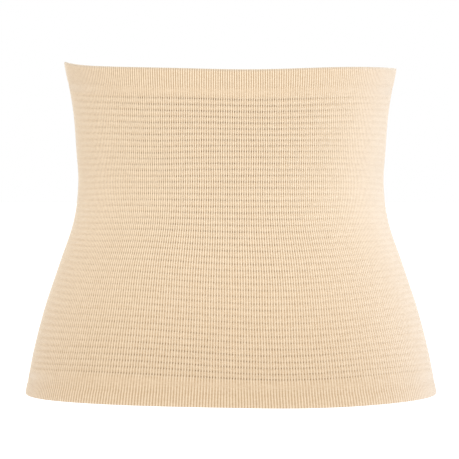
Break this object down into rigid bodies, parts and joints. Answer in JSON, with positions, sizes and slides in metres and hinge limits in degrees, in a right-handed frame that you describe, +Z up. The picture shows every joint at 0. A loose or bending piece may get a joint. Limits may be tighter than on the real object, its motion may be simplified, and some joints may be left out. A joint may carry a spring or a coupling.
{
  "type": "waist trimmer belt",
  "caption": "Pull-on knitted waist trimmer belt, a seamless openwork tube with ribbed bands at its top edge and hem, shaped as worn from the lower ribs to the hips.",
  "frame": {"origin": "on the tube's axis at the waistline, where the wearer's waist holds it", "axes": "+Z up along the tube, +X to the wearer's left, so that the front faces -Y"},
  "size_m": [0.3358, 0.2413, 0.2702],
  "materials": {
    "rib_knit": "matt peach-beige nylon and elastane rib knit",
    "openwork_knit": "matt peach-beige nylon and elastane knit with rows of small holes"
  },
  "bodies": {
    "root": {"top_band": "rib_knit", "knit_body": "openwork_knit", "hem_band": "rib_knit"}
  },
  "joints": []
}
